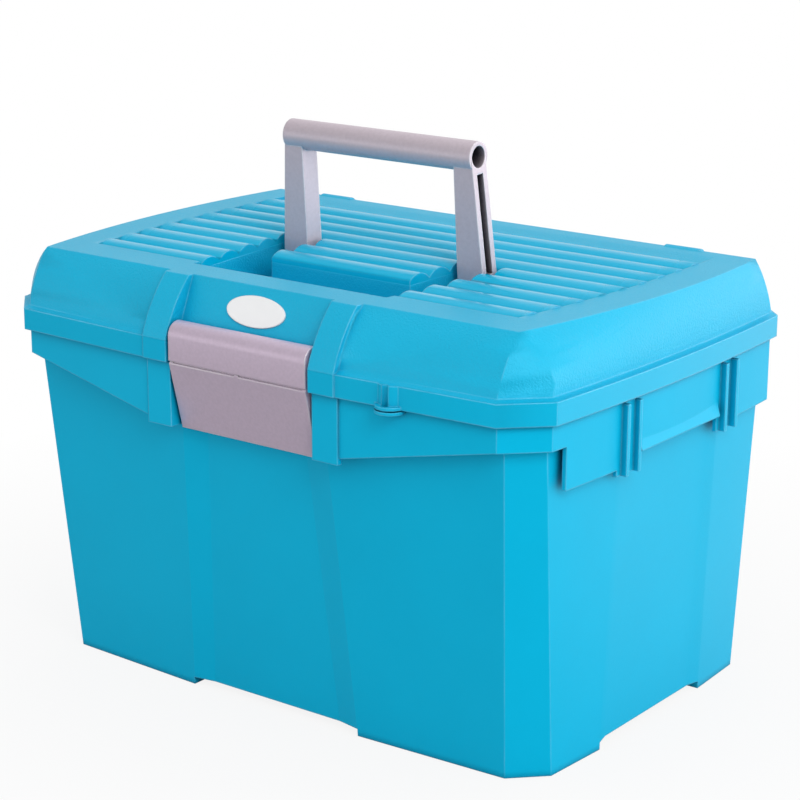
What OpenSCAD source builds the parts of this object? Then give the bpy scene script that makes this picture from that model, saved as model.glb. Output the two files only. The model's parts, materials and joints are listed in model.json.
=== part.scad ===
// Horse grooming box: a lidded plastic box with a fold-down handle, a flap latch and a lift-out tray.
// Millimetres, +Z up, the front faces -Y. Origin: bottom centre of the box with its lid shut and handle up.

/* [Overall] */
// Width over the lid band at the middle of the sides
box_w = 388; // [350:1:430]
// Depth from the padlock ear in front to the hinge knuckles behind
box_d = 292.4; // [272:0.2:320]
// Height of the tub rim
tub_h = 203.6; // [170:0.2:250]
// Height of the lid from its lower edge to its flat border
lid_h = 45.9; // [44:0.1:56]

/* [Walls] */
// Wall of the tub
wall_t = 2.8; // [2:0.1:4]
// Wall of the lid
lid_t = 2.7; // [2:0.1:3.5]
// Wall of the hanging skirts
skirt_t = 2.6; // [2:0.1:4]
// Open seam between the tub rim and the lid
seam_gap = 0.8; // [0.5:0.1:1.5]

/* [Handle] */
// Distance from the pivot to the middle of the grip
handle_l = 76.2; // [60:0.2:84]
// Outer radius of the grip
grip_r = 8.7; // [7:0.1:9.5]
// Half length of the grip
grip_half = 67; // [62:0.5:67]
// Lean of the raised handle towards the front
handle_lean = 4.4; // [0:0.2:8]
// Radius of the pivot pins
handle_pin_r = 3; // [2:0.1:4]

/* [Latch] */
// Half width of the flap
latch_half = 48.6; // [40:0.2:52]
// Gap on either side of the flap
latch_side_gap = 2; // [1:0.1:3]
// Radius of the rounded top of the flap about its pin
latch_r = 7.8; // [7:0.1:8.2]

/* [Hinges] */
// Radius of the knuckles
knuckle_r = 4; // [3.5:0.1:5]
// Distance of each hinge from the middle
hinge_x = 130; // [110:1:140]
// Gap between the knuckles and the back of the lid
hinge_stand = 3.3; // [0.5:0.1:5]
// Radius of the hinge and latch pins
pin_r = 1.8; // [1.4:0.1:2.2]

/* [Padlock ears] */
// How far the ears stand in front of the latch frame
ear_reach = 3; // [1:0.1:6]
// Thickness of each ear
ear_t = 1.8; // [1.4:0.1:3]
// Radius of the ears' rounded front
ear_r = 8.5; // [7:0.1:10]
// Radius of the shackle hole
ear_hole_r = 2; // [1.5:0.1:2.2]
// Distance of the ears from the middle
ear_x = 102; // [80:1:140]

/* [Fits] */
// Radial play of a turning fit
turn_play = 0.06; // [0.03:0.01:0.1]
// Radial play of a fixed pin
fixed_play = 0.02; // [0.01:0.01:0.03]
// Play between knuckles along the pin
knuckle_gap = 0.4; // [0.3:0.1:0.8]

/* [Hidden] */
$fn = 96;

teal = [0.05, 0.66, 0.83];
tray_teal = [0.07, 0.55, 0.70];
grey = [0.66, 0.62, 0.68];
steel = [0.72, 0.73, 0.75];
white = [0.95, 0.95, 0.94];

// Longer than any piece, for cuts that pass right through
reach = 700;
// How far a cut runs on past the piece that it shapes
past = 1;
half_w = box_w / 2;
half_d = box_d / 2;
face_d = half_d - ear_reach;
lid_lo = tub_h + seam_gap;
lid_top = lid_lo + lid_h;

// Plan of the lid band: distances of its walls from the middle
sweep = 2.7;
band_front = face_d - 1.7;
band_swept = face_d + 1.5;
band_corner = (half_w + face_d) * cos(45) - 23.3;
band_corner_back = band_corner + 2.5;
hinge_y = half_d - knuckle_r;
band_back = hinge_y - knuckle_r - hinge_stand;
bow_r = 1500;
band_edge = lid_lo + 12.6;
ledge_in = 3.6;
ledge_rise = 1.7;
ledge_shoulder = 0.6;
band_roof = 2;
slice = 0.02;
dome_lo = band_edge + ledge_rise;

// The tub rim stands back from the lid band by this much
rim_inset = 3.6;
front_draft = 5.1;
side_draft = 1.9;
back_draft = 3;

// Tub walls at floor level
tub_front = face_d - 9.3 - tub_h * tan(front_draft);
tub_corner_front = (half_w + face_d) * cos(45) - 32.3 - tub_h * tan(front_draft);
tub_corner_back = (half_w + face_d) * cos(45) - 28.5 - tub_h * tan(back_draft);
tub_back = face_d - 14.5 - tub_h * tan(back_draft);
tub_side = half_w - 6.1 - tub_h * tan(side_draft);
side_mid = 8;
facet_turn = 3.5;
foot_h = 4.4;
floor_z = 7.2;
front_foot_x = 61;
side_foot_y = 54;
front_set_back = 2.5;
side_set_back = 2.2;
front_step_turn = 10;
front_step_lean = 0.6;
side_step_turn = 14;
upstand_h = 5;
upstand_gap = 6;

// Lower edge of the rim skirt
skirt_low = tub_h - 37.3;
skirt_corner = tub_h - 13.8;
apron_low = tub_h - 37.5;
grip_low = tub_h - 31.5;
fin_low = tub_h - 41;
apron_half = 109;
plate_half = 63.5;
grip_half_y = 42;
wedge_half = 165;
strip_rise = 1.1;
fin_t = 2.6;
fin_root = 1;
fin_clear = 0.8;
fin_drop = 1.5;
lip_in = 1.6;
lip_out = 1.4;
lip_h = 10;
lip_edge = 0.8;
fin_ys = [-58.5, -46.5, 46.5, 58.5];

// Lid dome: rolls along the front and back, bowed sides that roll in towards the top, corner facets that
// run out to a point at the top corners
roll_r = 80;
roll_front_y = -(face_d - 80.3);
roll_back_y = band_back - 3.5 - 75.1;
roll_z = lid_top - 59.5;
dome_inset = 3.6;
dome_base_half = half_w - dome_inset;
dome_top_half = half_w - 11;
dome_top_bow = 650;
dome_top_shift = 27;
dome_sweep_x = 72;
dome_levels = 8;
plate_under = lid_top - 6;

// Ribs on the lid
rib_r = 13.4;
rib_pitch = 19.45;
rib_first = -81.7;
rib_count = 9;
rib_rise = 1;
field_front = -92;
field_back = 83.5;
field_half = 159.5;
field_bow_r = 845;
field_bow_y = 35;

// Handle pivot and the trough that takes the folded handle
pivot_y = -5.5;
pivot_z = lid_top - 12.3;
leg_in = 54.6;
leg_out_top = grip_half;
leg_out_low = grip_half + 6;
leg_flare = 1;
leg_d = 13.5;
leg_slot = 5.9;
leg_back = 3.4;
leg_slot_end = 1;
grip_wall = 2.5;
trough_front = pivot_y - handle_l - grip_r - 7.6;
trough_back = 6;
trough_half_front = grip_half + 2;
trough_half_back = leg_out_low + 8;
island_front = -51.5;
island_half = leg_in - 4.6;
trough_z = pivot_z - grip_r - 2.3;
pin_boss = 3.5;
pin_over = 1;
seat_wall = 3;
latch_seat_w = 10;

// Latch
latch_y = -(face_d - 8.7);
latch_z = lid_lo + 15.1;
latch_room = latch_half + latch_side_gap;
latch_clear = 0.5;
latch_pin_half = latch_room + 5;
latch_skin = 3;
latch_low = tub_h - 38.6;
catch_y = -(face_d - 16.6);
catch_z = latch_low + 8;
catch_half = 30;
catch_deep = 10;
catch_h = 4;
hook_half = 28;
hook_gap = 0.4;
hook_z = catch_z - 0.6;
cheek_t = 2.6;
middle_t = 3;
lip_z = lid_lo + 0.9;
lip_groove = 1.3;
lip_slant = 0.6;
lip_floor = 0.5;
lip_swell = 0.4;
cheek_top = [latch_y + 3, latch_z - 5.5];
cheek_mid = [latch_y + 2, lip_z];
hook_grip = 1.6;
hook_bite = 0.8;
hook_root_h = 4.4;
hook_in = [1.5, 1];
flap_face = latch_y - latch_r;
flap_low_y = -(face_d - 11.2);
cheek_low = [flap_low_y + 2.6, latch_low + 5];
flap_knee = [flap_face + 0.3, lip_z - 1.1];
frame_half = 68;
frame_deep = 40;
frame_rise = 3.8;
frame_face = face_d - 0.8;
panel_slope = 0.42;
panel_top_y = -(face_d - 24.9);

// Hinge line
hinge_z = tub_h + seam_gap / 2;
knuckle_w = 8;
knuckle_root = 1;
web_drop = 20;
web_turn = 37;
boss_r = 6;
boss_w = 23;

// Padlock ears
ear_y = -(half_d - ear_r);
ear_hole_y = -(half_d - ear_hole_r - 1.6);
ear_root = -(face_d - 4.6);
ear_boss_y = ear_y + 3.4;

// Badge
badge_w = 41;
badge_h = 17.5;
badge_t = 1.4;
badge_sink = 0.6;
badge_steps = 72;
badge_z = lid_top - 13.3;

// Tray
tray_half_w = half_w - 18;
tray_front = face_d - 25;
tray_back = face_d - 22.5;
tray_z = tub_h - 50;
tray_h = 36;
tray_t = 2;
tray_gap = 1.5;
tray_corner_room = tub_corner_front + tray_z * tan(front_draft) - wall_t - tray_gap;
tray_corner = ((tray_half_w + tray_front) * cos(45) - tray_corner_room) / (2 * cos(45) - 1);
tray_grip_h = 7;
tray_grip_half = 52;
tray_wall_y = 14;
tray_wall_t = 2.4;
cross_wall_t = 2;
cross_wall_front = 62;
cross_wall_back = 30;
cross_wall_drop = 8;
slot_half = 30;
slot_r = 8;
bearer_t = 4;
bearer_in = 8;
bearer_drop = 24;
bearer_len = 120;
bearer_gap = 0.3;

// A flat profile in the YZ plane, drawn out along X
module along_x(len)
    rotate([90, 0, 90])
        linear_extrude(height = len, center = true)
            children();

// A flat profile in the XZ plane, drawn out along Y
module along_y(len)
    rotate([90, 0, 0])
        linear_extrude(height = len, center = true)
            children();

// A round bar along X
module bar_x(r, len, y, z)
    translate([0, y, z])
        rotate([0, 90, 0])
            cylinder(r = r, h = len, center = true);

// Both sides of the middle plane
module both_sides()
    for (m = [0, 1])
        mirror([m, 0, 0])
            children();

// A box between two corners
module span(a, b)
    translate(a)
        cube(b - a);

// Everything between two heights
module slab(z0, z1)
    span([-reach, -reach, z0], [reach, reach, z1]);

// Everything behind one plain wall. In plan its normal points to angle a and it stands d from the middle
// at height z; going up it leans inwards by lean.
module behind_wall(a, d, lean, z)
    rotate([0, 0, a])
        translate([d, 0, z])
            rotate([0, -lean, 0])
                span([-reach, -reach, -reach], [0, reach, reach]);

// The room inside a list of walls, each [angle, distance, lean]
module inside_walls(walls, z)
    intersection_for (w = walls)
        behind_wall(w[0], w[1], w[2], z);

// Everything behind one straight line of a plan: its normal points to angle a, d from the middle
module behind_line(a, d)
    rotate(a)
        translate([d - reach, -reach])
            square([reach, 2 * reach]);

// Plan of the lid band set in by t: straight lines in front, behind and across the corners, bowed sides
function band_lines(t) = [
    [-90, band_front - t],
    [-90 + sweep, band_swept - t],
    [-90 - sweep, band_swept - t],
    [-45, band_corner - t],
    [-135, band_corner - t],
    [45, band_corner_back - t],
    [135, band_corner_back - t],
    [90, band_back - t]
];

module band_plan(t)
    intersection() {
        intersection_for (w = band_lines(t))
            behind_line(w[0], w[1]);
        intersection_for (side = [-1, 1])
            translate([side * (half_w - bow_r), 0])
                circle(r = bow_r - t, $fn = 360);
    }

module band_form(t, z0, z1)
    translate([0, 0, z0])
        linear_extrude(height = z1 - z0)
            band_plan(t);

// The sloping ledge between the band and the dome
module band_ledge()
    hull() {
        band_form(ledge_shoulder, band_edge - ledge_shoulder, band_edge);
        band_form(ledge_in, dome_lo - slice, dome_lo);
    }

// The drafted tub set in by t: swept front facets, corner facets, and a set-back middle panel in front and
// at the sides
function tub_walls(t) = [
    [-90 + sweep, tub_front - t, -front_draft],
    [-90 - sweep, tub_front - t, -front_draft],
    [-45, tub_corner_front - t, -front_draft],
    [-135, tub_corner_front - t, -front_draft],
    [45, tub_corner_back - t, -back_draft],
    [135, tub_corner_back - t, -back_draft],
    [90, tub_back - t, -back_draft]
];

foot_y = (tub_front - front_foot_x * sin(sweep)) / cos(sweep);
front_step = foot_y * cos(front_step_turn) - front_foot_x * sin(front_step_turn);
foot_x = (tub_side - side_foot_y * sin(facet_turn)) / cos(facet_turn);
side_step = foot_x * cos(side_step_turn) - side_foot_y * sin(side_step_turn);

module front_panel(t)
    union() {
        behind_wall(-90, foot_y - front_set_back - t, -front_draft, 0);
        for (turn = [-1, 1])
            behind_wall(-90 + turn * front_step_turn, front_step - t, -front_draft - front_step_lean, 0);
    }

module side_panel(t)
    translate([0, side_mid, 0])
        intersection() {
            behind_wall(-facet_turn, tub_side - t, -side_draft, 0);
            behind_wall(facet_turn, tub_side - t, -side_draft, 0);
            union() {
                behind_wall(0, foot_x - side_set_back - t, -side_draft, 0);
                for (turn = [-1, 1])
                    behind_wall(turn * side_step_turn, side_step - t, -side_draft, 0);
            }
        }

module tub_form(t, z0, z1)
    intersection() {
        slab(z0, z1);
        inside_walls(tub_walls(t), 0);
        front_panel(t);
        side_panel(t);
        mirror([1, 0, 0]) side_panel(t);
    }

// What the skirt keeps: a plain rim, a wedge beside the latch and a deeper apron on each side
module skirt_outline() {
    slab(skirt_corner, tub_h);
    translate([0, -face_d, 0])
        along_y(face_d)
            polygon([[-wedge_half, skirt_corner], [-latch_room, skirt_low], [latch_room, skirt_low],
                     [wedge_half, skirt_corner], [wedge_half, tub_h], [-wedge_half, tub_h]]);
    both_sides()
        translate([half_w, side_mid, 0])
            along_x(face_d)
                polygon([[-apron_half, apron_low], [-plate_half, apron_low], [-plate_half, fin_low],
                         [-grip_half_y, fin_low], [-grip_half_y, grip_low], [grip_half_y, grip_low],
                         [grip_half_y, fin_low], [plate_half, fin_low], [plate_half, apron_low],
                         [apron_half, apron_low], [apron_half, tub_h], [-apron_half, tub_h]]);
}

module rim_skirt()
    difference() {
        union() {
            intersection() {
                difference() {
                    band_form(rim_inset, fin_low, tub_h);
                    band_form(rim_inset + skirt_t, fin_low - past, tub_h - skirt_t);
                }
                skirt_outline();
            }
            intersection() {
                band_form(rim_inset, skirt_low, tub_h);
                both_sides()
                    span([latch_room, -face_d, skirt_low], [latch_room + skirt_t, 0, tub_h]);
            }
            latch_strips();
        }
        span([-latch_room, -reach, 0], [latch_room, 0, reach]);
    }

// The lid's latch frame carried on down the skirt, as a raised strip on either side of the flap
module latch_strips()
    intersection() {
        difference() {
            band_form(rim_inset - strip_rise, skirt_low, tub_h);
            band_form(rim_inset + skirt_t, skirt_low - past, tub_h - skirt_t);
        }
        both_sides()
            span([latch_room, -face_d, skirt_low], [frame_half, -face_d / 2, tub_h]);
    }

// Upright fins beside each hand grip and the out-turned lip under it
module side_grips()
    both_sides()
        translate([half_w - rim_inset, side_mid, 0]) {
            for (y = fin_ys)
                span([-skirt_t - fin_root, y - fin_t / 2, fin_low],
                     [rim_inset - fin_clear, y + fin_t / 2, tub_h - fin_drop]);
            grip_lip();
        }

module grip_lip()
    along_y(2 * grip_half_y)
        polygon([[-lip_in, grip_low + lip_h], [-lip_in, grip_low], [lip_out, grip_low],
                 [lip_out, grip_low + lip_edge]]);

// Rear hinge knuckles on the tub, joined to its rim by a web
module tub_knuckles()
    both_sides()
        for (side = [-1, 1])
            translate([hinge_x + side * (knuckle_w + knuckle_gap), 0, 0]) {
                bar_x(knuckle_r, knuckle_w, hinge_y, hinge_z);
                along_x(knuckle_w)
                    polygon([[tub_back, hinge_z - web_drop], [band_back - rim_inset, hinge_z - web_drop],
                             [hinge_y + knuckle_r * cos(web_turn), hinge_z - knuckle_r * sin(web_turn)],
                             [hinge_y, hinge_z], [tub_back, tub_h]]);
            }

// A padlock ear with a rounded front and its root set back by t, from height z0 to z1
module ear(y, t, z0, z1)
    intersection() {
        translate([ear_x, y, z0])
            cylinder(r = ear_r, h = z1 - z0);
        span([0, -reach, z0], [reach, ear_root + t, z1]);
    }

// The shackle hole through both ears
module ear_hole()
    translate([ear_x, ear_hole_y, tub_h - ear_t - past])
        cylinder(r = ear_hole_r, h = band_edge - tub_h + ear_t + past);

// Bearers inside the end walls that carry the tray
module tray_bearers()
    intersection() {
        tub_form(wall_t / 2, floor_z, tub_h);
        both_sides()
            along_y(bearer_len)
                polygon([[tray_half_w - bearer_in, tray_z - bearer_gap], [half_w, tray_z - bearer_gap],
                         [half_w, tray_z - bearer_drop],
                         [tray_half_w - bearer_in, tray_z - bearer_gap - bearer_t]]);
    }

module body_tub()
    color(teal)
        difference() {
            union() {
                difference() {
                    union() {
                        tub_form(0, 0, tub_h + upstand_h);
                        rim_skirt();
                        side_grips();
                        tub_knuckles();
                        ear(ear_y, rim_inset, tub_h - ear_t, tub_h);
                    }
                    tub_form(wall_t, floor_z, reach / 2);
                    span([-front_foot_x, -reach, -past], [front_foot_x, reach, foot_h]);
                    span([-reach, side_mid - side_foot_y, -past], [reach, side_mid + side_foot_y, foot_h]);
                    span([-latch_room - upstand_gap, -reach, tub_h], [latch_room + upstand_gap, 0, reach]);
                }
                tray_bearers();
                latch_catch();
            }
            both_sides()
                translate([hinge_x, 0, 0])
                    bar_x(pin_r + fixed_play, 4 * knuckle_w, hinge_y, hinge_z);
            ear_hole();
        }

// The ridge on the front panel that the latch hook clips under
module latch_catch()
    difference() {
        span([-catch_half, catch_y, catch_z], [catch_half, catch_y + catch_deep, catch_z + catch_h]);
        tub_form(wall_t / 2, 0, tub_h);
    }

// Depth of the front and back rolls at height z, set in by t
function roll_reach(z, t) = sqrt(pow(roll_r - t, 2) - pow(z - roll_z, 2));

// Share of the way up the dome, and how far the sides have rolled in there
function rise(z) = max(0, (z - dome_lo) / (lid_top - dome_lo));
function side_roll(z) = pow(rise(z), 2.2);

// The bow of the sides at a share g of their roll: bend, its middle and its reach from the middle plane
function side_bend(g) = (1 - g) / (2 * bow_r) + g / (2 * dome_top_bow);
function side_bow_y(g) = g * dome_top_shift / (2 * dome_top_bow) / side_bend(g);
function side_reach(g) = (1 - g) * dome_base_half + side_bend(g) * pow(side_bow_y(g), 2)
    + g * (dome_top_half - pow(dome_top_shift, 2) / (2 * dome_top_bow));

// Where the top border's corners lie, which the corner facets meet
top_front = roll_front_y - roll_reach(lid_top, 0);
top_back = roll_back_y + roll_reach(lid_top, 0);
function top_side(y) = dome_top_half - pow(y - dome_top_shift, 2) / (2 * dome_top_bow);
facet_base = band_corner - dome_inset;
facet_base_back = band_corner_back - dome_inset;

// How far the front rolls have swept back at the corners, and the corners' reach along the diagonals if
// nothing were cut off them
function swept_x(z) = dome_sweep_x + rise(z) * (top_side(top_front) - dome_sweep_x);
function side_at(y, g) = side_reach(g) - side_bend(g) * pow(y - side_bow_y(g), 2);
function front_end(z) = roll_reach(z, 0) - roll_front_y - (top_side(top_front) - swept_x(z)) * tan(sweep);
function back_end(z) = roll_reach(z, 0) + roll_back_y;
function front_corner(z) = (side_at(-front_end(z), side_roll(z)) + front_end(z)) * cos(45);
function back_corner(z) = (side_at(back_end(z), side_roll(z)) + back_end(z)) * cos(45);

// What the corner facets cut off, from the most at their foot to nothing at the top
function facet_share(z) = 1 - pow(rise(z), 2);
front_cut = front_corner(dome_lo) - facet_base;
back_cut = back_corner(dome_lo) - facet_base_back;

// Plan of the dome at height z, set in by t
module dome_plan(z, t) {
    g = side_roll(z);
    front = roll_reach(z, t) - roll_front_y;
    back = roll_reach(z, t) + roll_back_y;
    bow = 1 / (2 * side_bend(g));
    intersection() {
        translate([-reach, -front])
            square([2 * reach, front + back]);
        intersection_for (turn = [-1, 1])
            behind_line(-90 + turn * sweep, front * cos(sweep) + swept_x(z) * sin(sweep));
        intersection_for (side = [-1, 1])
            translate([side * (side_reach(g) - bow), side_bow_y(g)])
                circle(r = bow - t, $fn = 240);
        intersection_for (a = [-45, -135])
            behind_line(a, front_corner(z) - front_cut * facet_share(z) - t);
        intersection_for (a = [45, 135])
            behind_line(a, back_corner(z) - back_cut * facet_share(z) - t);
    }
}

// The dome set in by t, lofted through its plans from height z0 to z1
module dome_form(t, z0, z1)
    hull()
        for (i = [0 : dome_levels]) {
            z = z0 + (z1 - slice - z0) * i / dome_levels;
            translate([0, 0, z])
                linear_extrude(height = slice)
                    dome_plan(z, t);
        }

// The raised frame round the latch, standing out from the front roll
module latch_frame()
    along_x(2 * frame_half)
        intersection() {
            translate([roll_front_y, roll_z])
                circle(r = roll_r + frame_rise, $fn = 240);
            translate([-frame_face, lid_lo])
                square([frame_deep, lid_h]);
        }

// The sloping panel above the latch and the pocket for the rounded top of the flap, grown by g
function panel_y(z) = panel_top_y - (lid_top - z) * panel_slope;

module latch_recess(g) {
    shift = g * sqrt(1 + panel_slope * panel_slope);
    low = lid_lo - lid_h;
    top = lid_top + lid_h;
    back = latch_y + latch_r + latch_clear + g;
    along_x(2 * (latch_room + g)) {
        translate([latch_y, latch_z])
            circle(r = latch_r + latch_clear + g);
        polygon([[-reach, low], [back, low], [back, latch_z], [panel_y(latch_z) + shift, latch_z],
                 [panel_y(top) + shift, top], [-reach, top]]);
    }
}

// The U-shaped trough round the middle island, grown by g
module trough_plan(g)
    difference() {
        polygon([[-trough_half_front - g, trough_front - g], [trough_half_front + g, trough_front - g],
                 [trough_half_back + g, trough_back + g], [-trough_half_back - g, trough_back + g]]);
        translate([-island_half + g, island_front + g])
            square([2 * (island_half - g), reach]);
    }

module trough(g)
    translate([0, 0, trough_z - g])
        linear_extrude(height = reach / 2)
            trough_plan(g);

// The ribbed field inside the flat border of the lid
module field_plan()
    intersection() {
        translate([-half_w, field_front])
            square([box_w, field_back - field_front]);
        translate([field_half - field_bow_r, field_bow_y])
            circle(r = field_bow_r, $fn = 360);
        translate([field_bow_r - field_half, field_bow_y])
            circle(r = field_bow_r, $fn = 360);
    }

module field(z0, z1)
    translate([0, 0, z0])
        linear_extrude(height = z1 - z0)
            field_plan();

module lid_ribs()
    difference() {
        intersection() {
            field(plate_under, lid_top + rib_r);
            union()
                for (i = [-1 : rib_count])
                    bar_x(rib_r, box_w, rib_first + i * rib_pitch, lid_top + rib_rise - rib_r);
        }
        trough(0);
    }

// Knuckles of the lid between those of the tub, and the low bosses above them on the rear edge
module lid_knuckles()
    both_sides()
        translate([hinge_x, 0, 0]) {
            bar_x(knuckle_r, knuckle_w - knuckle_gap, hinge_y, hinge_z);
            along_x(knuckle_w - knuckle_gap)
                polygon([[band_back - knuckle_root, lid_lo + seam_gap / 2], [hinge_y, hinge_z],
                         [hinge_y + knuckle_r * cos(web_turn), hinge_z + knuckle_r * sin(web_turn)],
                         [band_back, band_edge - knuckle_root],
                         [band_back - knuckle_root, band_edge - knuckle_root]]);
            bar_x(boss_r, boss_w, top_back, lid_top - boss_r + rib_rise);
        }

// Solid seats for the handle pins and the latch pin
module pin_seats() {
    both_sides() {
        translate([island_half, pivot_y, pivot_z])
            rotate([0, 90, 0])
                cylinder(r = handle_pin_r + seat_wall, h = 2 * (lid_t + pin_boss), center = true);
        translate([seat_x(), pivot_y, pivot_z])
            rotate([0, 90, 0])
                cylinder(r = handle_pin_r + seat_wall, h = 2 * (lid_t + pin_boss), center = true);
        translate([latch_room + seat_wall, latch_y, latch_z])
            rotate([0, 90, 0])
                cylinder(r = pin_r + seat_wall, h = latch_seat_w, center = true);
    }
}

// Where the outer trough wall stands at the handle pivot
function seat_x() = trough_half_front
    + (trough_half_back - trough_half_front) * (pivot_y - trough_front) / (trough_back - trough_front);

module lid_room()
    difference() {
        union() {
            band_form(skirt_t, lid_lo - past, band_edge - band_roof);
            dome_form(lid_t, band_edge - band_roof - past, plate_under);
        }
        trough(lid_t);
        latch_recess(lid_t);
        pin_seats();
    }

module lid_shell()
    color(teal)
        difference() {
            union() {
                difference() {
                    union() {
                        band_form(0, lid_lo, band_edge);
                        band_ledge();
                        dome_form(0, band_edge, lid_top);
                        latch_frame();
                        lid_knuckles();
                        ear(ear_y, 0, lid_lo, lid_lo + ear_t);
                        ear(ear_boss_y, 0, lid_lo, band_edge);
                    }
                    lid_room();
                    field(plate_under, reach);
                }
                lid_ribs();
            }
            trough(0);
            latch_recess(0);
            badge_form(badge_sink, 0);
            both_sides() {
                bar_x(handle_pin_r + fixed_play, 2 * handle_pin_end(), pivot_y, pivot_z);
                bar_x(pin_r + fixed_play, 2 * (latch_pin_half + past), latch_y, latch_z);
                translate([hinge_x, 0, 0])
                    bar_x(pin_r + turn_play, 2 * knuckle_w, hinge_y, hinge_z);
            }
            ear_hole();
        }

// The handle stands on its pivot, leaning forward
module handle_frame()
    translate([0, pivot_y, pivot_z])
        rotate([handle_lean, 0, 0])
            children();

// Seen along X a leg is a bar with a round foot; seen along Y it widens towards its foot
module handle_leg()
    difference() {
        intersection() {
            along_y(leg_d)
                polygon([[leg_in, -leg_d], [leg_out_low + leg_flare, -leg_d], [leg_out_top, handle_l],
                         [leg_in, handle_l]]);
            along_x(4 * grip_half) {
                circle(r = leg_d / 2);
                translate([-leg_d / 2, 0])
                    square([leg_d, handle_l]);
            }
        }
        span([leg_in + leg_back, -leg_slot / 2, 3 * handle_pin_r],
             [reach, leg_slot / 2, handle_l - grip_r - leg_slot_end]);
    }

module carry_handle()
    color(grey)
        handle_frame()
            difference() {
                union() {
                    both_sides() handle_leg();
                    bar_x(grip_r, 2 * grip_half, 0, handle_l);
                }
                bar_x(grip_r - grip_wall, 4 * grip_half, 0, handle_l);
                bar_x(handle_pin_r + turn_play, 4 * grip_half, 0, 0);
            }

// Pins of the handle: each crosses one leg slot and sits in both of its walls
function handle_pin_end() = seat_x() + lid_t + pin_over;
function handle_pin_start() = island_half - lid_t - pin_over;

module handle_pin()
    translate([(handle_pin_start() + handle_pin_end()) / 2, 0, 0])
        bar_x(handle_pin_r, handle_pin_end() - handle_pin_start(), pivot_y, pivot_z);

module handle_pin_right()
    color(steel) handle_pin();

module handle_pin_left()
    color(steel) mirror([1, 0, 0]) handle_pin();

// Latch flap: a skin curved about the pin, a grooved lip at the seam and a lower plate that slopes inwards
flap_end = [flap_low_y, latch_low];
flap_dir = (flap_end - flap_knee) / norm(flap_end - flap_knee);
flap_in = [-flap_dir[1], flap_dir[0]] * latch_skin;

module flap_skin() {
    difference() {
        translate([latch_y, latch_z])
            circle(r = latch_r);
        translate([latch_y, latch_z])
            circle(r = latch_r - latch_skin);
        translate([latch_y, latch_z - 2 * latch_r])
            square([2 * latch_r, 2 * latch_r]);
        translate([latch_y - latch_r / 2, latch_z - 2 * latch_r])
            square([2 * latch_r, 2 * latch_r]);
    }
    polygon([[flap_face, latch_z], [flap_face, lip_z + lip_slant], [flap_face + lip_groove, lip_z],
             [flap_face + lip_groove, lip_z - lip_floor], flap_knee, flap_end, flap_end + flap_in,
             flap_knee + flap_in, [flap_face + latch_skin + lip_swell, lip_z],
             [flap_face + latch_skin, latch_z]]);
}

module flap_cheek() {
    translate([latch_y, latch_z])
        circle(r = latch_r);
    polygon([[flap_face, latch_z], cheek_top, cheek_mid, cheek_low, flap_end + flap_in, flap_end,
             flap_knee, [flap_face + lip_groove, lip_z], [flap_face, lip_z + lip_slant]]);
}

module flap_hook()
    polygon([[flap_low_y + hook_in[0], hook_z], [catch_y - hook_gap, hook_z - hook_bite],
             [catch_y - hook_gap, hook_z - hook_bite - hook_grip],
             [flap_low_y + hook_in[1], hook_z - hook_root_h]]);

module latch_flap()
    color(grey)
        difference() {
            union() {
                along_x(2 * latch_half) flap_skin();
                both_sides()
                    translate([latch_half - cheek_t / 2, 0, 0])
                        along_x(cheek_t) flap_cheek();
                along_x(middle_t) flap_cheek();
                along_x(2 * hook_half) flap_hook();
            }
            bar_x(pin_r + turn_play, box_w, latch_y, latch_z);
        }

module latch_pin()
    color(steel)
        bar_x(pin_r, 2 * latch_pin_half, latch_y, latch_z);

module hinge_pin()
    translate([hinge_x, 0, 0])
        bar_x(pin_r, 3 * knuckle_w + 2 * knuckle_gap, hinge_y, hinge_z);

module hinge_pin_right()
    color(steel) hinge_pin();

module hinge_pin_left()
    color(steel) mirror([1, 0, 0]) hinge_pin();

// A plain oval badge let into the sloping panel, sunk by s and standing out by p
module badge_form(s, p)
    translate([0, panel_y(badge_z), badge_z])
        rotate([90 - atan(panel_slope), 0, 0])
            translate([0, 0, -s])
                linear_extrude(height = s + p)
                    polygon([for (i = [0 : badge_steps - 1])
                        [badge_w * cos(i * 360 / badge_steps), badge_h * sin(i * 360 / badge_steps)] / 2]);

module badge_plate()
    color(white)
        badge_form(badge_sink, badge_t - badge_sink);

// Lift-out tray: an open pan with a long grip wall and cross walls
module tray_plan(t) {
    r = tray_corner - t;
    w = tray_half_w - tray_corner;
    f = tray_front - tray_corner;
    b = tray_back - tray_corner;
    for (x = [-w, w])
        for (y = [-f, b])
            translate([x, y])
                circle(r = r);
    translate([-w - r, -f])
        square([2 * (w + r), f + b]);
    translate([-w, -f - r])
        square([2 * w, f + b + 2 * r]);
}

// An upright wall of the tray from y0 to y1 at x
module cross_wall(x, y0, y1)
    span([x - cross_wall_t / 2, y0, tray_z], [x + cross_wall_t / 2, y1, tray_z + tray_h - cross_wall_drop]);

// The long wall from end to end, h high
module long_wall(half, h)
    span([-half, tray_wall_y - tray_wall_t / 2, tray_z], [half, tray_wall_y + tray_wall_t / 2, tray_z + h]);

module tray_walls() {
    long_wall(tray_half_w - tray_t / 2, tray_h - cross_wall_drop / 2);
    long_wall(tray_grip_half, tray_h + tray_grip_h);
    for (side = [-1, 1])
        cross_wall(side * cross_wall_front, -tray_front + tray_t / 2, tray_wall_y);
    cross_wall(cross_wall_back, tray_wall_y, tray_back - tray_t / 2);
}

// The finger slot through the grip wall
module tray_slot()
    translate([0, tray_wall_y, tray_z + tray_h + tray_grip_h - 2 * slot_r])
        along_y(4 * tray_wall_t) {
            square([2 * slot_half, 2 * slot_r], center = true);
            for (x = [-slot_half, slot_half])
                translate([x, 0])
                    circle(r = slot_r);
        }

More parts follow.
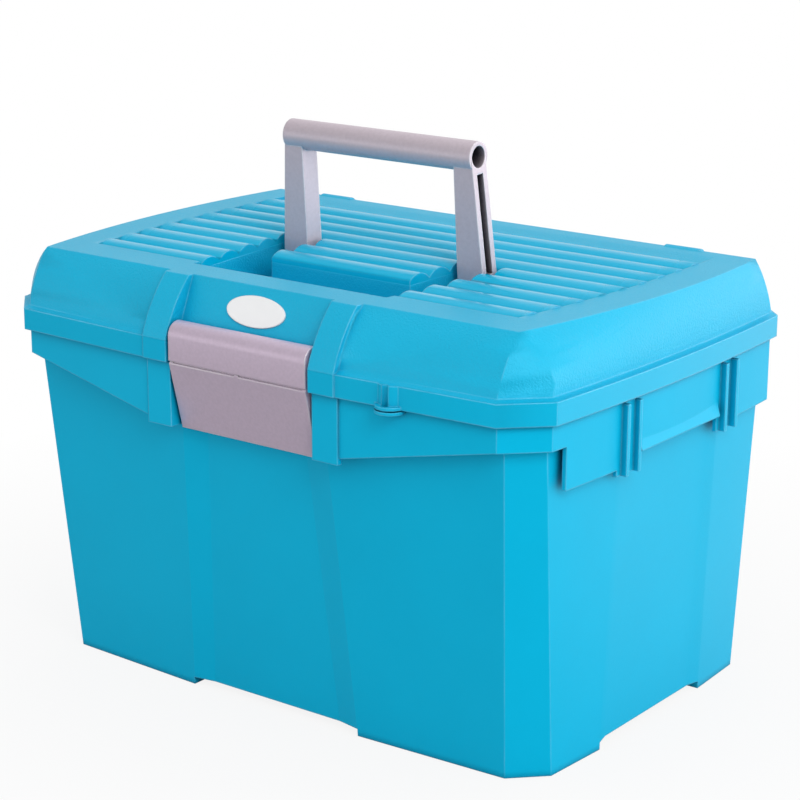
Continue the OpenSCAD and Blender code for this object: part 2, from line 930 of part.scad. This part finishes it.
module lift_out_tray()
    color(tray_teal)
        difference() {
            union() {
                difference() {
                    translate([0, 0, tray_z])
                        linear_extrude(height = tray_h)
                            tray_plan(0);
                    translate([0, 0, tray_z + tray_t])
                        linear_extrude(height = tray_h)
                            tray_plan(tray_t);
                }
                tray_walls();
            }
            tray_slot();
        }

body_tub();
lid_shell();
carry_handle();
handle_pin_left();
handle_pin_right();
latch_flap();
latch_pin();
hinge_pin_left();
hinge_pin_right();
badge_plate();
lift_out_tray();
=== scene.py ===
"""Looks of the grooming box: moulded turquoise plastic, silver-grey handle and latch, plain white badge."""
import json
import math

import bmesh
import bpy
from mathutils import Matrix, Vector

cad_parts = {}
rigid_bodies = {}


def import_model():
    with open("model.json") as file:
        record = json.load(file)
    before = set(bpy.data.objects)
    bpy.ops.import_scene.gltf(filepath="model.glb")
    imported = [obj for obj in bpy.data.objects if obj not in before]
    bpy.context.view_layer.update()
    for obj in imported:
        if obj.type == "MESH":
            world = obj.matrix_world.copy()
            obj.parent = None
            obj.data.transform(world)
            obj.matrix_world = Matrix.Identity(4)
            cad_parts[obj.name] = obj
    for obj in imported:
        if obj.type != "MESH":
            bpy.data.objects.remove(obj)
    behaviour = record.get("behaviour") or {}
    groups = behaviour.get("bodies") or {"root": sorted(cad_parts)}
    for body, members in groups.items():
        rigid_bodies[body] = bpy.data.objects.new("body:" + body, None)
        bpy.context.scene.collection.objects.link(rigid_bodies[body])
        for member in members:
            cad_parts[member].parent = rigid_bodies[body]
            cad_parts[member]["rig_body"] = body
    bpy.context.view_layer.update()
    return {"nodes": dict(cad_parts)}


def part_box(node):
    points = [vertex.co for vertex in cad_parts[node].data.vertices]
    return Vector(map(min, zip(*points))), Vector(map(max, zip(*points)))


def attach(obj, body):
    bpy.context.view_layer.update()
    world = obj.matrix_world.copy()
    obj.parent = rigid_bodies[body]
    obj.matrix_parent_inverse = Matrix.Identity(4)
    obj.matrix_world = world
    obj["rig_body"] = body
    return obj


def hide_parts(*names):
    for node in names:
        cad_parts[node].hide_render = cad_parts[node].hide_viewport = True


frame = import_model()

MM = 0.001

# The lid's ribbed field and band, which are smooth, and what they keep of the dome's roughness and grain
LID_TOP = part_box("lid_shell")[1][2]
FIELD_HALF = 156 * MM
FIELD_FADE = 10 * MM
FIELD_FRONT = -92 * MM
FIELD_BACK = 83.5 * MM
RIB_DEPTH = 6 * MM
BAND_EDGE = 217 * MM
STEP = 0.5 * MM
SMOOTH_ROUGHNESS = 0.45
SMOOTH_GRAIN = 0.12

# How far back the last groove's rear wall leans, and how far the flat border lies below the rib crests
GROOVE_LEAN = 14 * MM
CREST = 1 * MM

# Corners closer than the weld are one, and faces flatter to each other than the angle are joined
WELD = 0.01 * MM
FLAT = math.radians(0.3)

# Camera, fitted to the photograph's own edges
CAMERA_PLACE = Vector((0.7820, -1.0341, 0.5279))
CAMERA_AZIMUTH = math.radians(36.93)
CAMERA_ELEVATION = math.radians(15.86)
CAMERA_ROLL = math.radians(0.225)
CAMERA_LENS = 102.02
SENSOR = 36.0

# Colours of the plastics, linear
TURQUOISE = (0.0, 0.410, 0.650, 1)
TURQUOISE_DEEP = (0.0, 0.392, 0.625, 1)
# Pale colour painted along the edges as highlights, with a little rubbing
TURQUOISE_EDGE_HIGHLIGHT = (0.22, 0.65, 0.88, 1)
# Dark colours painted as shade into recesses, gaps and under overhangs of the turquoise mouldings
TUB_PAINTED_SHADE = (0.0, 0.17, 0.30, 1)
LID_PAINTED_SHADE = (0.0, 0.30, 0.50, 1)
TURQUOISE_GLOSS = (0.1, 0.75, 1.0, 1)
LID_GLOSS = (0.4, 0.85, 1.0, 1)
SILVER = (0.61, 0.53, 0.59, 1)
SILVER_DARK = (0.56, 0.485, 0.54, 1)
# Pale colour painted along the handle's edges as highlights, with a little rubbing
SILVER_EDGE_HIGHLIGHT = (0.88, 0.86, 0.90, 1)
# Near black painted as shade into the handle's slot and bore and the latch's groove
SILVER_PAINTED_SHADE = (0.030, 0.026, 0.036, 1)
LATCH_SILVER = (0.74, 0.61, 0.75, 1)
LATCH_DARK = (0.68, 0.56, 0.69, 1)
# Pale colour painted along the latch's edges as highlights, with a little rubbing
LATCH_EDGE_HIGHLIGHT = (0.95, 0.92, 0.95, 1)
BADGE_WHITE = (0.86, 0.87, 0.87, 1)
BADGE_SHADE = (0.78, 0.79, 0.80, 1)
STEEL = (0.56, 0.56, 0.58, 1)
STEEL_DARK = (0.44, 0.44, 0.46, 1)
WHITE = (1, 1, 1, 1)

# Deep and middle tone of each finish, and the pale colour of its painted edge highlights
TURQUOISES = (TURQUOISE_DEEP, TURQUOISE, TURQUOISE_EDGE_HIGHLIGHT)
SILVERS = (SILVER_DARK, SILVER, SILVER_EDGE_HIGHLIGHT)
LATCH_SILVERS = (LATCH_DARK, LATCH_SILVER, LATCH_EDGE_HIGHLIGHT)
BADGE_WHITES = (BADGE_SHADE, BADGE_WHITE, BADGE_WHITE)
STEELS = (STEEL_DARK, STEEL, STEEL)

# Metal flakes in the silver-grey plastics, as a share of metal
HANDLE_METAL = 0.35
LATCH_METAL = 0.5

# Texture of the mouldings: how often patches and specks repeat in a metre, and how strongly grain shows
PATCH_SCALE = 14.0
FLAKE_SCALE = 500.0
SPECK_SCALE = 2600.0
GRAIN_STRENGTH = 0.35

# Soft edges: their radius, and the noise that breaks up their painted highlight and wear, with the least of
# it that the noise leaves
EDGE_RADIUS = 1.2 * MM
EDGE_BREAKS = 60.0
EDGE_NOISE = (0.35, 0.6)
LEAST_HIGHLIGHT_AND_WEAR = 0.45

# Cosine of the normal's turn at which an edge starts to get its painted highlight and wear, and at which it
# is fully so
EDGE_TURN = (0.998, 0.92)

# Painted shade in recesses, slots and gaps: how far the surface looks around, and the open share at which the
# painted shade starts and is full
TUB_SHADE_REACH = dict(distance=6 * MM, open_at=0.9, deep_at=0.35)
LID_SHADE_REACH = dict(distance=8 * MM, open_at=0.8, deep_at=0.25)
HANDLE_SHADE_REACH = dict(distance=20 * MM, open_at=0.6, deep_at=0.25)
LATCH_SHADE_REACH = dict(distance=3 * MM, open_at=0.55, deep_at=0.2)

# The floor: its paper, its half width and its gap under the feet
FLOOR_PAPER = (0.6, 0.6, 0.6, 1)
FLOOR_HALF = 6.0
FLOOR_GAP = 0.4 * MM

# How white the floor is to the camera under the box, and the distances over which it turns plain white
FLOOR_WHITE = 0.88
SHADOW = (0.2, 0.55)

# The studio: which way its white backdrop stands, how bright its front mirrors, and the even light it gives
BACKDROP = Vector((0.0, 1.0, 0.0))
STUDIO_FRONT = 0.12
AMBIENT = 0.79

# Where mirrored surroundings turn white: places along the floor, and cosines to the backdrop for the room
FLOOR_TURNS_WHITE = (-0.1, 0.25)
ROOM_TURNS_WHITE = (0.1, 0.7)

# What the lamps point at
BOX_MIDDLE = Vector((0.1, 0.0, 0.15))
LID_MIDDLE = Vector((0.0, 0.0, 0.2))


def node_at(tree, kind, **values):
    """A new shader node with its properties and input values set by name."""
    made = tree.nodes.new(kind)
    for key, value in values.items():
        if key in made.inputs.keys():
            made.inputs[key].default_value = value
        else:
            setattr(made, key, value)
    return made


def feed(tree, socket, given):
    """Set an input to a plain value, or link another node's output to it."""
    if isinstance(given, bpy.types.NodeSocket):
        tree.links.new(given, socket)
    else:
        socket.default_value = given


def new_group(name, inputs, outputs):
    """An empty shader node group with named float inputs, and named outputs of the kinds given."""
    group = bpy.data.node_groups.new(name, "ShaderNodeTree")
    for label, value in inputs.items():
        socket = group.interface.new_socket(name=label, in_out="INPUT", socket_type="NodeSocketFloat")
        socket.default_value = value
    for label, kind in outputs.items():
        group.interface.new_socket(name=label, in_out="OUTPUT", socket_type=kind)
    return group, group.nodes.new("NodeGroupInput"), group.nodes.new("NodeGroupOutput")


def moulded_grain_group():
    """The fine texture of an eroded mould: grain height, slow uneven patches of tone, and specks of gloss."""
    group, given, out = new_group(
        "moulded_grain",
        {"Grain Scale": 900.0, "Patch Scale": PATCH_SCALE},
        {"Height": "NodeSocketFloat", "Patches": "NodeSocketFloat", "Specks": "NodeSocketFloat"},
    )
    place = node_at(group, "ShaderNodeTexCoord")
    grain = node_at(group, "ShaderNodeTexNoise", Detail=3.0, Roughness=0.55)
    patches = node_at(group, "ShaderNodeTexNoise", Detail=4.0, Roughness=0.6)
    specks = node_at(group, "ShaderNodeTexNoise", Detail=1.0, Scale=SPECK_SCALE)
    links = group.links
    for texture, label in ((grain, "Height"), (patches, "Patches"), (specks, "Specks")):
        links.new(place.outputs["Object"], texture.inputs["Vector"])
        links.new(texture.outputs["Fac"], out.inputs[label])
    links.new(given.outputs["Grain Scale"], grain.inputs["Scale"])
    links.new(given.outputs["Patch Scale"], patches.inputs["Scale"])
    return group


def soft_edges_group():
    """Softly rounded edges: their turned normals, and a mask for painted highlights and rubbing along the
    edges, broken up by noise.
    """
    group, given, out = new_group(
        "soft_edges",
        {"Radius": EDGE_RADIUS, "Break Up": EDGE_BREAKS},
        {"Edge": "NodeSocketFloat", "Normal": "NodeSocketVector"},
    )
    links = group.links
    place = node_at(group, "ShaderNodeTexCoord")
    surface = node_at(group, "ShaderNodeNewGeometry")
    rounded = node_at(group, "ShaderNodeBevel", samples=6)
    closeness = node_at(group, "ShaderNodeVectorMath", operation="DOT_PRODUCT")
    noise = node_at(group, "ShaderNodeTexNoise", Detail=4.0)
    links.new(given.outputs["Radius"], rounded.inputs["Radius"])
    links.new(rounded.outputs["Normal"], closeness.inputs[0])
    links.new(surface.outputs["Normal"], closeness.inputs[1])
    links.new(place.outputs["Object"], noise.inputs["Vector"])
    links.new(given.outputs["Break Up"], noise.inputs["Scale"])
    turned = ranged(group, closeness.outputs["Value"], 0.0, 1.0, *EDGE_TURN)
    broken = ranged(group, noise.outputs["Fac"], LEAST_HIGHLIGHT_AND_WEAR, 1.0, *EDGE_NOISE)
    links.new(calculated(group, "MULTIPLY", turned, broken), out.inputs["Edge"])
    links.new(rounded.outputs["Normal"], out.inputs["Normal"])
    return group


def painted_shade_group(name, own_piece_only):
    """A mask for painted shade in slots, bores and gaps, from how much stands close in front of the surface.
    """
    group, given, out = new_group(
        name,
        {"Distance": 10 * MM, "Open At": 0.6, "Deep At": 0.25},
        {"Painted Shade": "NodeSocketFloat"},
    )
    links = group.links
    openness = node_at(group, "ShaderNodeAmbientOcclusion", samples=8, only_local=own_piece_only)
    depth = node_at(group, "ShaderNodeMapRange")
    links.new(given.outputs["Distance"], openness.inputs["Distance"])
    links.new(openness.outputs["AO"], depth.inputs["Value"])
    links.new(given.outputs["Open At"], depth.inputs["From Min"])
    links.new(given.outputs["Deep At"], depth.inputs["From Max"])
    links.new(depth.outputs["Result"], out.inputs["Painted Shade"])
    return group


def place_group(tree, group, **values):
    """A node group placed in a material, with its inputs set by name."""
    made = node_at(tree, "ShaderNodeGroup", node_tree=group)
    for key, value in values.items():
        made.inputs[key.replace("_", " ").title()].default_value = value
    return made


def mix_colours(tree, amount, low, high):
    """A colour between two, by a socket's value. Each colour is a plain value or a socket."""
    mix = node_at(tree, "ShaderNodeMix", data_type="RGBA")
    tree.links.new(amount, mix.inputs[0])
    feed(tree, mix.inputs[6], low)
    feed(tree, mix.inputs[7], high)
    return mix.outputs[2]


def ranged(tree, value, low, high, start=0.3, end=0.7):
    """A value spread from low to high while the given socket goes from start to end."""
    spread = node_at(tree, "ShaderNodeMapRange",
                     **{"From Min": start, "From Max": end, "To Min": low, "To Max": high})
    tree.links.new(value, spread.inputs["Value"])
    return spread.outputs["Result"]


def calculated(tree, operation, *given):
    """The output of one calculation on sockets or plain numbers."""
    made = node_at(tree, "ShaderNodeMath", operation=operation)
    for socket, value in zip(made.inputs, given):
        feed(tree, socket, value)
    return made.outputs["Value"]


def lid_smooth_parts(tree):
    """A mask of the lid's band and of its ribbed field, which fades out towards the field's bowed ends."""
    place = node_at(tree, "ShaderNodeTexCoord")
    parts = node_at(tree, "ShaderNodeSeparateXYZ")
    tree.links.new(place.outputs["Object"], parts.inputs["Vector"])
    x, y, z = parts.outputs
    floor = LID_TOP - RIB_DEPTH
    from_middle = calculated(tree, "ABSOLUTE", x)
    across = ranged(tree, from_middle, 1.0, 0.0, FIELD_HALF - FIELD_FADE, FIELD_HALF)
    behind_front = ranged(tree, y, 0.0, 1.0, FIELD_FRONT, FIELD_FRONT + STEP)
    before_back = ranged(tree, y, 1.0, 0.0, FIELD_BACK - STEP, FIELD_BACK)
    above_floor = ranged(tree, z, 0.0, 1.0, floor, floor + STEP)
    field = across
    for limit in (above_floor, behind_front, before_back):
        field = calculated(tree, "MULTIPLY", field, limit)
    band = ranged(tree, z, 1.0, 0.0, BAND_EDGE - STEP, BAND_EDGE)
    return calculated(tree, "MAXIMUM", field, band)


GRAIN = moulded_grain_group()
SOFT_EDGES = soft_edges_group()
OWN_PAINTED_SHADE = painted_shade_group("painted_shade", own_piece_only=True)
CONTACT_PAINTED_SHADE = painted_shade_group("contact_painted_shade", own_piece_only=False)


def moulded_plastic(name, colours, roughness, grain_scale, grain_depth, specular=0.5, edge_highlight=0.5, metallic=0.0,
                    gloss_tint=WHITE, painted_shade=None, smooth_parts=None, patch_scale=PATCH_SCALE):
    """A moulded plastic: uneven tone, painted highlights with a little rubbing on pale edges, painted shade
    in recesses, fine grain in height and gloss.
    """
    deep, middle, edge_highlight_colour = colours
    material = bpy.data.materials.new(name)
    material.use_nodes = True
    tree = material.node_tree
    shader = tree.nodes["Principled BSDF"]
    shader.inputs["Specular IOR Level"].default_value = specular
    shader.inputs["Specular Tint"].default_value = gloss_tint
    shader.inputs["Metallic"].default_value = metallic
    grain = place_group(tree, GRAIN, grain_scale=grain_scale, patch_scale=patch_scale)
    edges = place_group(tree, SOFT_EDGES, radius=EDGE_RADIUS)
    tone = ranged(tree, grain.outputs["Patches"], 0.0, 1.0)
    body = mix_colours(tree, tone, deep, middle)
    # Pale edges: a painted highlight along the edges, with a little rubbing
    highlight_and_wear = ranged(tree, edges.outputs["Edge"], 0.0, edge_highlight, 0.0, 1.0)
    colour = mix_colours(tree, highlight_and_wear, body, edge_highlight_colour)
    # Painted shade darkens slots, gaps and the places under overhangs
    if painted_shade:
        group, shade, limits = painted_shade
        shade_mask = place_group(tree, group, **limits)
        colour = mix_colours(tree, shade_mask.outputs["Painted Shade"], colour, shade)
    tree.links.new(colour, shader.inputs["Base Color"])
    dullness = ranged(tree, grain.outputs["Specks"], *roughness)
    relief = grain.outputs["Height"]
    if smooth_parts:
        smooth = smooth_parts(tree)
        kept_roughness = ranged(tree, smooth, 1.0, SMOOTH_ROUGHNESS, 0.0, 1.0)
        kept_grain = ranged(tree, smooth, 1.0, SMOOTH_GRAIN, 0.0, 1.0)
        dullness = calculated(tree, "MULTIPLY", dullness, kept_roughness)
        relief = calculated(tree, "MULTIPLY", relief, kept_grain)
    tree.links.new(dullness, shader.inputs["Roughness"])
    bump = node_at(tree, "ShaderNodeBump", Strength=GRAIN_STRENGTH, Distance=grain_depth)
    tree.links.new(edges.outputs["Normal"], bump.inputs["Normal"])
    tree.links.new(relief, bump.inputs["Height"])
    tree.links.new(bump.outputs["Normal"], shader.inputs["Normal"])
    return material


tub_satin = moulded_plastic(
    "tub_satin", TURQUOISES, roughness=(0.40, 0.48), grain_scale=700.0, grain_depth=0.12 * MM,
    gloss_tint=TURQUOISE_GLOSS, painted_shade=(CONTACT_PAINTED_SHADE, TUB_PAINTED_SHADE, TUB_SHADE_REACH))
lid_satin = moulded_plastic(
    "lid_satin", TURQUOISES, roughness=(0.40, 0.50), grain_scale=900.0, grain_depth=1.2 * MM, specular=0.7,
    gloss_tint=LID_GLOSS, painted_shade=(CONTACT_PAINTED_SHADE, LID_PAINTED_SHADE, LID_SHADE_REACH), smooth_parts=lid_smooth_parts)
tray_satin = moulded_plastic(
    "tray_satin", TURQUOISES, roughness=(0.42, 0.52), grain_scale=700.0, grain_depth=0.12 * MM,
    gloss_tint=TURQUOISE_GLOSS)
handle_silver = moulded_plastic(
    "handle_silver", SILVERS, roughness=(0.40, 0.52), grain_scale=1400.0, grain_depth=0.08 * MM, edge_highlight=0.9,
    metallic=HANDLE_METAL, painted_shade=(OWN_PAINTED_SHADE, SILVER_PAINTED_SHADE, HANDLE_SHADE_REACH), patch_scale=FLAKE_SCALE)
latch_silver = moulded_plastic(
    "latch_silver", LATCH_SILVERS, roughness=(0.46, 0.56), grain_scale=1400.0, grain_depth=0.05 * MM,
    edge_highlight=0.9, metallic=LATCH_METAL, painted_shade=(OWN_PAINTED_SHADE, SILVER_PAINTED_SHADE, LATCH_SHADE_REACH), patch_scale=FLAKE_SCALE)
badge_enamel = moulded_plastic(
    "badge_enamel", BADGE_WHITES, roughness=(0.16, 0.24), grain_scale=300.0, grain_depth=0.03 * MM)
pin_metal = moulded_plastic(
    "pin_metal", STEELS, roughness=(0.25, 0.38), grain_scale=1600.0, grain_depth=0.03 * MM, metallic=1.0)


def lean_last_groove(shape):
    """Let the lid's last groove rise to the border behind it in a gentle slope."""
    for corner in shape.verts:
        at_rear = abs(corner.co.y - FIELD_BACK) < STEP
        if at_rear and corner.co.z > LID_TOP - CREST - STEP:
            corner.co.y += GROOVE_LEAN


def dressed(node, name, material, sharp, reshape=None):
    """A merged copy of a CAD node, smooth below the sharp angle in degrees, which stands for that node."""
    source = frame["nodes"][node]
    shape = bmesh.new()
    shape.from_mesh(source.data)
    bmesh.ops.remove_doubles(shape, verts=shape.verts, dist=WELD)
    bmesh.ops.dissolve_limit(shape, angle_limit=FLAT, verts=shape.verts, edges=shape.edges)
    if reshape:
        reshape(shape)
    mesh = bpy.data.meshes.new(name)
    shape.to_mesh(mesh)
    shape.free()
    mesh.shade_smooth()
    mesh.set_sharp_from_angle(angle=math.radians(sharp))
    mesh.materials.clear()
    mesh.materials.append(material)
    piece = bpy.data.objects.new(name, mesh)
    bpy.context.scene.collection.objects.link(piece)
    flatten = piece.modifiers.new("flat_faces", "WEIGHTED_NORMAL")
    flatten.keep_sharp = True
    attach(piece, source["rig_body"])
    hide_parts(node)


dressed("body_tub", "tub_moulding", tub_satin, sharp=5)
dressed("lid_shell", "lid_moulding", lid_satin, sharp=24, reshape=lean_last_groove)
dressed("carry_handle", "handle_moulding", handle_silver, sharp=20)
dressed("latch_flap", "latch_moulding", latch_silver, sharp=8)
dressed("lift_out_tray", "tray_moulding", tray_satin, sharp=20)
dressed("badge_plate", "badge_face", badge_enamel, sharp=20)
for pin in ("latch_pin", "handle_pin_left", "handle_pin_right", "hinge_pin_left", "hinge_pin_right"):
    rod = frame["nodes"][pin]
    rod.data.materials.clear()
    rod.data.materials.append(pin_metal)


def by_ray(tree, camera, mirrored, other):
    """One value for rays from the camera, one for reflected and refracted rays and one for all the rest."""
    path = node_at(tree, "ShaderNodeLightPath")
    mirror = calculated(tree, "MAXIMUM", path.outputs["Is Glossy Ray"], path.outputs["Is Transmission Ray"])
    value = other
    for share, wanted in ((mirror, mirrored), (path.outputs["Is Camera Ray"], camera)):
        pick = node_at(tree, "ShaderNodeMix", data_type="FLOAT")
        tree.links.new(share, pick.inputs["Factor"])
        feed(tree, pick.inputs["A"], value)
        feed(tree, pick.inputs["B"], wanted)
        value = pick.outputs["Result"]
    return value


def towards_backdrop(tree, place, near, far):
    """How white the studio is at a place or in a direction: dim in front, white at the back."""
    along = node_at(tree, "ShaderNodeVectorMath", operation="DOT_PRODUCT")
    along.inputs[1].default_value = BACKDROP
    tree.links.new(place, along.inputs[0])
    return ranged(tree, along.outputs["Value"], STUDIO_FRONT, 1.0, near, far)


def floor_paper():
    """Paper that takes a faint shadow close to the box, and is plain white to the camera further out."""
    material = bpy.data.materials.new("floor_paper")
    material.use_nodes = True
    tree = material.node_tree
    tree.nodes.clear()
    out = node_at(tree, "ShaderNodeOutputMaterial")
    paper = node_at(tree, "ShaderNodeBsdfDiffuse", Color=FLOOR_PAPER)
    glow = node_at(tree, "ShaderNodeEmission")
    place = node_at(tree, "ShaderNodeTexCoord").outputs["Object"]
    distance = node_at(tree, "ShaderNodeVectorMath", operation="LENGTH")
    tree.links.new(place, distance.inputs[0])
    whiter = ranged(tree, distance.outputs["Value"], FLOOR_WHITE, 1.0, *SHADOW)
    mirrored = towards_backdrop(tree, place, *FLOOR_TURNS_WHITE)
    mix = node_at(tree, "ShaderNodeMixShader")
    tree.links.new(by_ray(tree, 1.0, mirrored, 1.0), glow.inputs["Strength"])
    tree.links.new(by_ray(tree, whiter, 1.0, 0.0), mix.inputs["Fac"])
    tree.links.new(paper.outputs["BSDF"], mix.inputs[1])
    tree.links.new(glow.outputs["Emission"], mix.inputs[2])
    tree.links.new(mix.outputs["Shader"], out.inputs["Surface"])
    return material


def studio_floor():
    """A pale floor just under the feet."""
    shape = bmesh.new()
    bmesh.ops.create_grid(shape, x_segments=1, y_segments=1, size=FLOOR_HALF)
    mesh = bpy.data.meshes.new("studio_floor")
    shape.to_mesh(mesh)
    shape.free()
    mesh.materials.append(floor_paper())
    floor = bpy.data.objects.new("studio_floor", mesh)
    floor.location.z = -FLOOR_GAP
    bpy.context.scene.collection.objects.link(floor)


def studio_world():
    """White to the camera, white at the back to reflections, plainer for the light it gives."""
    world = bpy.data.worlds.new("studio")
    bpy.context.scene.world = world
    world.use_nodes = True
    tree = world.node_tree
    background = tree.nodes["Background"]
    background.inputs["Color"].default_value = WHITE
    direction = node_at(tree, "ShaderNodeTexCoord").outputs["Generated"]
    mirrored = towards_backdrop(tree, direction, *ROOM_TURNS_WHITE)
    tree.links.new(by_ray(tree, 1.0, mirrored, AMBIENT), background.inputs["Strength"])


def soft_light(name, place, target, size, watts):
    """A rectangular lamp at a place, turned to its target and unseen by the camera."""
    lamp = bpy.data.lights.new(name, "AREA")
    lamp.energy = watts
    lamp.shape = "RECTANGLE"
    lamp.size, lamp.size_y = size
    made = bpy.data.objects.new(name, lamp)
    made.visible_camera = False
    made.location = place
    made.rotation_euler = (target - Vector(place)).to_track_quat("-Z", "Y").to_euler()
    bpy.context.scene.collection.objects.link(made)


def photo_camera():
    """The camera at the photograph's own place, turn and lens."""
    right = Vector((math.cos(CAMERA_AZIMUTH), math.sin(CAMERA_AZIMUTH), 0))
    away = Vector((math.sin(CAMERA_AZIMUTH), -math.cos(CAMERA_AZIMUTH), 0))
    back = away * math.cos(CAMERA_ELEVATION) + Vector((0, 0, math.sin(CAMERA_ELEVATION)))
    up = back.cross(right)
    tilted_right = right * math.cos(CAMERA_ROLL) + up * math.sin(CAMERA_ROLL)
    tilted_up = up * math.cos(CAMERA_ROLL) - right * math.sin(CAMERA_ROLL)
    turn = Matrix((tilted_right, tilted_up, back)).transposed()
    camera = bpy.data.objects.new("photo_camera", bpy.data.cameras.new("photo_camera"))
    camera.data.sensor_width = SENSOR
    camera.data.lens = CAMERA_LENS
    camera.matrix_world = Matrix.Translation(CAMERA_PLACE) @ turn.to_4x4()
    bpy.context.scene.collection.objects.link(camera)
    bpy.context.scene.camera = camera


studio_floor()
studio_world()
soft_light("key_box", place=(1.42, -0.86, 1.35), target=BOX_MIDDLE, size=(0.8, 0.8), watts=14)
soft_light("side_box", place=(1.9, 0.15, 0.6), target=BOX_MIDDLE, size=(1.6, 1.0), watts=10.5)
soft_light("back_box", place=(1.1, 1.45, 0.3), target=BOX_MIDDLE, size=(1.8, 0.8), watts=7)
soft_light("top_box", place=(-0.2, 0.2, 1.9), target=LID_MIDDLE, size=(1.8, 1.8), watts=4)
soft_light("left_box", place=(-1.2, -1.5, 0.3), target=LID_MIDDLE, size=(1.4, 0.4), watts=3.5)
photo_camera()
bpy.context.scene.view_settings.view_transform = "Standard"
